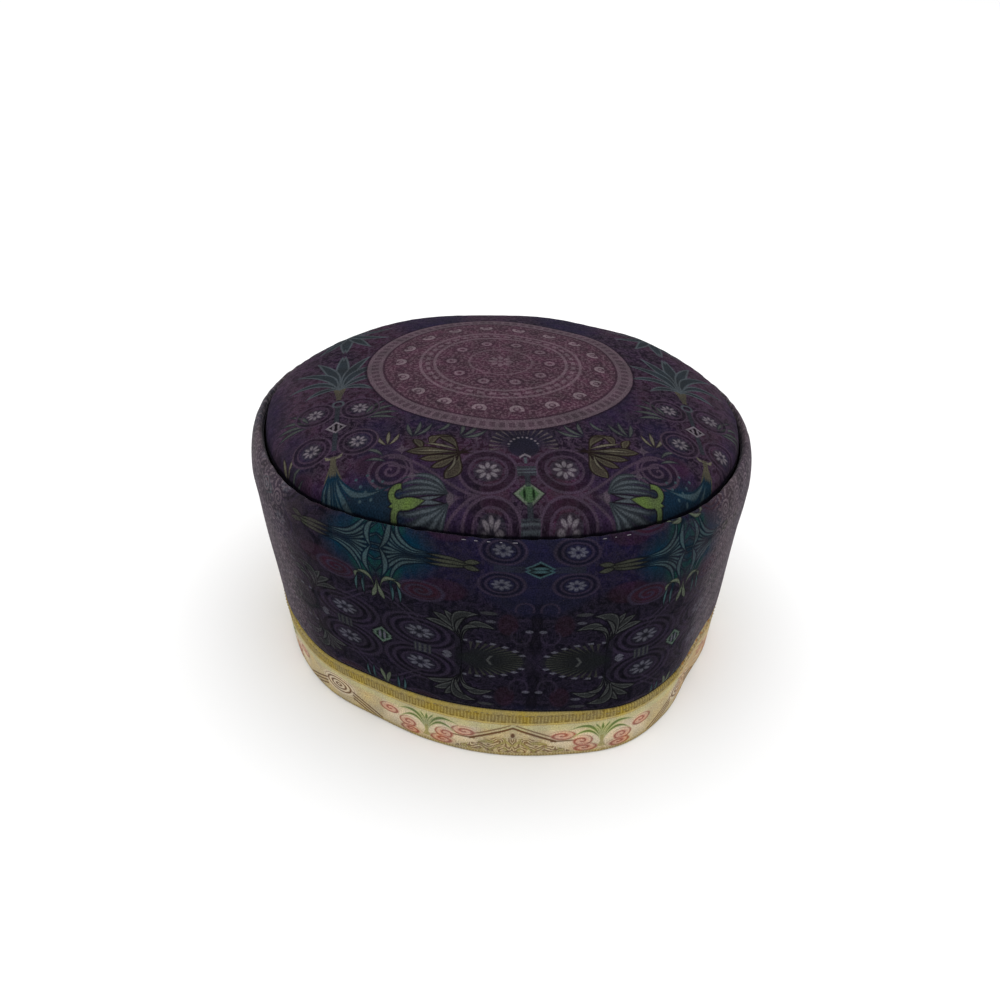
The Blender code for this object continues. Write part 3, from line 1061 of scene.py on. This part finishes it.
def band_chart(paint, u, v):
    w = fold(u - BAND_MIDDLE, BAND_REPEAT)
    crackle = size(part(noise(w + 9, v, 3, 1) * 8) - 0.5)
    paint("band_sand", crackle - 0.12, 0.55, 0.2)
    paint("cream_light", bar(w - 32, v - 8, 18, 3.6), 0.8, 6)
    paint("cream_green", size(v - 13.6) - 1, 0.6, 1.6)
    # The pediment: two pairs of rising lines with a dot and scribbles below
    climb = scaled(w, 0.42, v) - 13.4
    paint("band_brown", most(size(climb) * 0.92 - 0.46, w - 15.5))
    paint("band_brown", most(size(v - 7) - 0.34, size(w - 18) - 4.6), 0.9)
    paint("band_brown", most(size(climb - 1.6) * 0.92 - 0.26, size(w - 7.5) - 6.5), 0.8)
    paint("band_brown", oval(w, v - 9.9, 0.8, 1.1))
    curl = size(part(noise(w, v, 3.4, 0.4) * 5) - 0.5) * 1.5
    inside = most(climb + 2.4, size(v - 5.2) - 3.4)
    paint("band_brown", most(curl - 0.36, inside), 0.8, 0.4)
    paint("olive_light", most((0.6 - noise(w + 20, v, 1.8, 0)) * 6, inside), 0.7, 0.4)
    # Rose scrolls on both sides of the palmettes
    for middle, level, half_w, half_v in BAND_SCROLLS:
        x = (w - middle) * (half_v / half_w)
        y = v - level
        r = far(x, y)
        paint("rose", r - half_v * 0.7, 0.7, 1.2)
        paint("rose_dark", most(spiral(x, y, r, half_v * 0.6, 0.5, 1), r - half_v), 0.9)
    # Green palmettes
    x = size(w - 32)
    blades(paint, x, v, BAND_LEAVES, "band_green", "cream_green", False, 0.3)
    paint("olive_light", most(x - 0.6 - most(5 - v, 0) * 0.4, size(v - 5.4) - 2.6), 0.8)
    # The big spiral and the lines that run down from it
    x = (BAND_REPEAT - w) * 0.5
    y = v - 8.6
    r = far(x, y)
    paint("cream_light", r - 4.6, 0.8, 1)
    paint("band_brown", most(spiral(x, y, r, 1.3, 0.6, -1), r - 4.3))
    waves = size(part(scaled(v, 0.45, sine(w * 0.42) * 0.55)) - 0.5) * 2
    bare = size(u - BARE_MIDDLE) - BARE_HALF
    paint("orange", most(waves - 0.36, bare), 0.85)
    for shift in (0, 1.5, 3):
        run = size(scaled(w, -0.42, v) + 20.4 + shift * 1.1) * 0.92
        paint("band_brown", most(run - 0.36, size(w - 60) - 7.5))
    # Gold strip with its key pattern, and the fine ticks at the fold
    paint("gold", most(GOLD_FOOT - v, -bare * 0.1), 1, 0.5)
    key = fold(u, 0.62)
    paint("gold_dark", most(key - 0.26, size(v - 17.6) - 1.7), 0.7, 0.35)
    steps = fold(u, 1.86)
    paint("gold_dark", most(steps - 0.62, size(v - 19) - 0.3), 0.8, 0.35)
    paint("gold_dark", most(1.24 - steps, size(v - 16.2) - 0.3), 0.8, 0.35)
    paint("gold_light", size(v - GOLD_FOOT - 0.5) - 0.25, 0.7, 0.4)
    paint("gold", v - 1.5, 0.45, 0.8)
    paint("gold_dark", most(fold(u, 0.55) - 0.22, v - 1.3), 0.5, 0.3)


# Stitches
SEAM_STITCH_RUNS = ((262.0, 275.0), (291.5, 297.0))    # bearings where they show below the seam
STITCH_TURN = 42.0           # degrees of the roll from the seam down to its stitches
SEAM_STITCH = (0.0015, 0.0042, 0.00028)    # length, pitch and thickness
BAND_STITCH = (0.0014, 0.0022, 0.00026)
BAND_STITCH_RUNS = ((0.0, 359.0),)
BAND_STITCH_DROP = 0.0006    # below the band's rounded upper edge
STITCH_SIDES = 5
# Along a stitch: share of its length, share of its thickness, and lift in thicknesses
Station = namedtuple("Station", "way girth lift")
STATIONS = tuple(Station(*row) for row in (
    (0.0, 0.25, -0.5), (0.18, 1.0, 0.25), (0.5, 1.15, 0.55), (0.82, 1.0, 0.25), (1.0, 0.25, -0.5)))

# Cloth
THREAD = 0.46                # mm from one thread of the weave to the next
THREAD_GRAIN = 2500.0        # spots to the metre on the sewing thread
THREAD_RELIEF = 0.00005


def place_on(tree, map_name):
    """The two coordinates of one of the cloth's maps."""
    source = tree.nodes.new("ShaderNodeUVMap")
    source.uv_map = map_name
    split = tree.nodes.new("ShaderNodeSeparateXYZ")
    tree.links.new(source.outputs["UV"], split.inputs["Vector"])
    return Number(tree, split.outputs["X"]), Number(tree, split.outputs["Y"])


def new_material(name):
    material = bpy.data.materials.new(name)
    material.use_nodes = True
    tree = material.node_tree
    return material, tree, tree.nodes["Principled BSDF"]


def add_bump(tree, shader, height, distance):
    bump = tree.nodes.new("ShaderNodeBump")
    bump.inputs["Distance"].default_value = distance
    bump.inputs["Strength"].default_value = 1.0
    tree.links.new(height, bump.inputs["Height"])
    tree.links.new(bump.outputs["Normal"], shader.inputs["Normal"])


def cloth(name, chart, ground, gain, specular, sheen, sheen_tint, mottle=0.5):
    """Woven cotton with a print charted on the cloth's own millimetres."""
    material, tree, shader = new_material(name)
    x, y = place_on(tree, "print")
    canvas = Canvas(tree, ground, gain)
    chart(canvas, x, y)
    speckle = noise(x, y, 0.5, 1.0)
    cloud = noise(x, y, 7.0, 2.0)
    tone = tree.nodes.new("ShaderNodeHueSaturation")
    tree.links.new(canvas.colour, tone.inputs["Color"])
    worn = scaled(speckle, mottle * 3.0, 1.0 - mottle * 1.5)
    worn = worn * scaled(cloud, mottle * 1.4, 1.0 - mottle * 0.7)
    tree.links.new(worn.socket, tone.inputs["Value"])
    tree.links.new(scaled(cloud, 0.5, 0.75).socket, tone.inputs["Saturation"])
    tree.links.new(tone.outputs["Color"], shader.inputs["Base Color"])
    tree.links.new(scaled(speckle, 0.3, 0.7).socket, shader.inputs["Roughness"])
    shader.inputs["Specular IOR Level"].default_value = specular
    shader.inputs["Sheen Weight"].default_value = sheen
    shader.inputs["Sheen Roughness"].default_value = 0.25
    shader.inputs["Sheen Tint"].default_value = (*sheen_tint, 1.0)
    weave = sine(x * (TURN / THREAD)) * sine(y * (TURN / THREAD))
    crinkle = noise(x, y, 2.2, 2.0)
    height = scaled(weave, 0.012, scaled(crinkle, 0.30, speckle * 0.12))
    add_bump(tree, shader, height.socket, MM)
    return material


def crown_print(paint, x, y):
    """The crown's print, paler towards its sides by painted sheen, and the painted shade of the seam along
    its edge, wider towards the front.
    """
    across, along = turned(x - CROWN_AXIS[0], y - CROWN_AXIS[1], CROWN_TURN)
    paint("plum", (0.5 - noise(x, y, 34.0, 0.0)) * 60.0, 0.7, 12.0)
    # Painted sheen: paler towards the crown's left and right edges
    paint("plum_pale", 84.0 - size(across + 2.0), 0.5, 36.0)
    crown_chart(paint, fold(across, CROWN_HALF), along)
    medallion_chart(paint, x - MEDALLION_MIDDLE[0], y - MEDALLION_MIDDLE[1])
    to_seam, facing = place_on(paint.tree, "seam")
    paint("seam_shade", to_seam - SEAM_SHADE_CROWN[0] - facing * SEAM_SHADE_CROWN[1], 0.9, 0.5)


def side_chart(paint, u, v, away):
    """The small pale scrolls and fans round the sides, where the distance is negative."""
    rise = v * (1.0 / SCROLL_RISE)
    up = part(rise)
    across = part(scaled(u, 1.0 / SCROLL_STEP, (rise - up) * 0.5))
    x = (across - 0.5) * SCROLL_STEP
    y = (up - 0.5) * SCROLL_RISE
    r = far(x, y)
    paint("side_dark", most(r - 4.0, away), 0.3, 1.5)
    paint("side_pale", most(most(spiral(x, y, r, 1.6, 0.6, 1.0), r - 3.2), away), 0.5)
    turn = angle(y, x)
    rays = size(part(scaled(turn, 11.0 / TURN, r * 0.09)) - 0.5) * r * (TURN / 11.0) - 0.35
    paint("side_pale", most(most(rays, ring(r, 5.2, 2.4)), away), 0.4)


def wall_print(paint, u, v):
    """The wall's print, paler and greyer round the sides by painted sheen, and the painted shade of its lip
    in the seam.
    """
    round_it = size(u + SIDES_SHIFT)
    paint("wall_violet", most(74.0 - v, size(u) - 70.0), 0.6, 12.0)
    # Painted sheen: a paler, greyer ink round the sides, under the chart
    paint("wall_side", 88.0 - round_it, 0.85, 44.0)
    wall_chart(paint, fold(u, WALL_HALF), fold(scaled(u, WALL_TILT, v) - WALL_LEVEL, WALL_SPAN))
    # Painted sheen again, over the chart, further round the sides
    paint("wall_side", 104.0 - round_it, 0.4, 60.0)
    side_chart(paint, u, v, (90.0 - round_it) * SCROLL_FADE)
    ends = front_distance(columns())
    paint("wall_shadow", least(float(ends.max()) - u, u - float(ends.min())) - 0.35, 0.8, 0.4)
    seam_at = (shoulder_height() + roll_length()) / MM - SEAM_SHADE
    paint("seam_shade", seam_at - v, 0.9, 0.6)


def plain_print(paint, x, y):
    paint("seam_shade", fold(x, 0.9) - 0.2, 0.3, 0.3)


def stitches(name, runs, line, length, pitch, thickness, look):
    """Rows of short thread stitches as one mesh: line gives points along the row at bearings."""
    points = []
    faces = []
    sides = range(STITCH_SIDES)
    for bearing in np.concatenate([np.arange(*run, math.degrees(pitch / SEAM_RADIUS)) for run in runs]):
        long = length * (1.0 + 0.45 * math.sin(bearing * 7.3) * math.sin(bearing * 3.1 + 1.0))
        turned_by = math.degrees(long / SEAM_RADIUS)
        centres, outward = line(np.array([bearing + turned_by * station.way for station in STATIONS]))
        along = centres[-1] - centres[0]
        along = along / np.linalg.norm(along)
        start = len(points)
        for centre, out, station in zip(centres, outward, STATIONS):
            across = np.cross(along, out)
            for side in sides:
                turn = TURN * side / STITCH_SIDES
                way_out = math.cos(turn) * across + math.sin(turn) * out
                points.append(tuple(centre + out * station.lift * thickness
                                    + way_out * station.girth * thickness / 2))
        last = start + (len(STATIONS) - 1) * STITCH_SIDES
        for ring_start in range(start, last, STITCH_SIDES):
            for side in sides:
                here = ring_start + side
                beside = ring_start + (side + 1) % STITCH_SIDES
                faces.append((here, beside, beside + STITCH_SIDES, here + STITCH_SIDES))
        faces.append(tuple(start + side for side in reversed(sides)))
        faces.append(tuple(last + side for side in sides))
    data = bpy.data.meshes.new(name)
    data.from_pydata(points, [], faces)
    data.shade_smooth()
    data.materials.append(look)
    return add_object(name, data)


def roll_line(bearing):
    """The row just outside the crown seam, over the top of the roll, with the way out of the cloth."""
    turn = math.radians(ROLL_TURN - STITCH_TURN)
    rise = ROLL_DROP / math.sin(math.radians(ROLL_TURN))
    radius = roll_centre(bearing) + ROLL_REACH * math.cos(turn)
    centres = place(radius, bearing, shoulder_height() + rise * math.sin(turn))
    out, up = rise * math.cos(turn), ROLL_REACH * math.sin(turn)
    outward = np.stack((*polar(out, bearing), np.full_like(bearing, up)), axis=-1)
    return centres, outward / math.hypot(out, up)


def band_line(bearing):
    """The row just below the band's upper edge, with the way out of the cloth."""
    height = band_top(bearing) - EDGE_ROUND - BAND_STITCH_DROP
    centres = place(side_radius(bearing, height), bearing, height)
    return centres, np.stack((*polar(1.0, bearing), np.zeros_like(bearing)), axis=-1)


def thread(name, ink, gain):
    """Twisted sewing thread."""
    material, tree, shader = new_material(name)
    source = tree.nodes.new("ShaderNodeTexCoord")
    wave = tree.nodes.new("ShaderNodeTexNoise")
    wave.inputs["Scale"].default_value = THREAD_GRAIN
    tree.links.new(source.outputs["Object"], wave.inputs["Vector"])
    canvas = Canvas(tree, ink, gain)
    canvas("thread_dark", (0.5 - Number(tree, wave.outputs[0])) * 4.0, 0.5, 0.5)
    tree.links.new(canvas.colour, shader.inputs["Base Color"])
    shader.inputs["Roughness"].default_value = 0.7
    shader.inputs["Specular IOR Level"].default_value = 0.2
    add_bump(tree, shader, wave.outputs[0], THREAD_RELIEF)
    return material


def make_camera():
    elevation = math.radians(CAMERA_ELEVATION)
    target = Vector(CAMERA_TARGET)
    eye = target + CAMERA_DISTANCE * Vector((0.0, -math.cos(elevation), math.sin(elevation)))
    data = bpy.data.cameras.new("photo_camera")
    data.sensor_width = CAMERA_SENSOR
    data.lens = CAMERA_LENS
    data.clip_start = 0.01
    camera = add_object("photo_camera", data)
    aim = (target - eye).to_track_quat("-Z", "Y").to_matrix().to_4x4()
    camera.matrix_world = Matrix.Translation(eye) @ aim @ Matrix.Rotation(math.radians(CAMERA_ROLL), 4, "Z")
    bpy.context.scene.camera = camera


def area_light(name, place_at, aim_at, size, power):
    data = bpy.data.lights.new(name, "AREA")
    data.shape = "RECTANGLE"
    data.size, data.size_y = size
    data.energy = power
    lamp = add_object(name, data)
    lamp.location = place_at
    lamp.rotation_euler = (Vector(aim_at) - Vector(place_at)).to_track_quat("-Z", "Y").to_euler()


def make_stage():
    data = bpy.data.meshes.new("floor")
    corners = ((-1, -1), (1, -1), (1, 1), (-1, 1))
    data.from_pydata([(x * FLOOR_REACH, y * FLOOR_REACH, 0.0) for x, y in corners], [], [(0, 1, 2, 3)])
    floor = add_object("floor", data)
    material, _, shader = new_material("pale_floor")
    shader.inputs["Base Color"].default_value = (0.9, 0.9, 0.9, 1.0)
    shader.inputs["Roughness"].default_value = 0.9
    data.materials.append(material)
    world = bpy.data.worlds.new("studio")
    world.use_nodes = True
    background = world.node_tree.nodes["Background"]
    background.inputs["Color"].default_value = (1.0, 1.0, 1.0, 1.0)
    background.inputs["Strength"].default_value = WORLD_STRENGTH
    bpy.context.scene.world = world
    bpy.context.scene.view_settings.view_transform = "Standard"
    area_light("top_light", (0.0, 0.0, TOP_LIGHT_HEIGHT), (0.0, 0.0, 0.0), TOP_LIGHT_SIZE, TOP_LIGHT_POWER)


crown = crown_piece()
side = side_piece()
band = band_piece()
inside_look = cloth("cloth_back", plain_print, "cloth_dark", 1.0, 0.12, 0.1, (1.0, 1.0, 1.0))
for piece, look, node, slot_name in (
    (crown, cloth("crown_print", crown_print, "crown_ground", GAIN, 0.01, 0.02, (0.9, 0.85, 1.0)),
     "crown_panel", "crown_cloth"),
    (side, cloth("wall_print", wall_print, "wall_ground", WALL_GAIN, 0.01, 0.10, (0.95, 0.9, 1.0)),
     "side_wall", "wall_cloth"),
    (band, cloth("band_print", band_chart, "cream", BAND_GAIN, 0.15, 0.10, (1.0, 0.95, 0.85), 0.3),
     "hem_band", "band_cloth"),
):
    piece.data.materials.append(look)
    piece.data.materials.append(inside_look)
    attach(piece, "root")
    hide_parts(node)

seam_thread = thread("seam_thread", "thread_pale", 0.8)
band_thread = thread("band_thread", "thread_gold", 1.0)
for piece, slot_name in (
    (stitches("seam_stitches", SEAM_STITCH_RUNS, roll_line, *SEAM_STITCH, seam_thread), "crown_cloth"),
    (stitches("band_stitches", BAND_STITCH_RUNS, band_line, *BAND_STITCH, band_thread), "band_cloth"),
):
    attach(piece, "root")

make_stage()
make_camera()
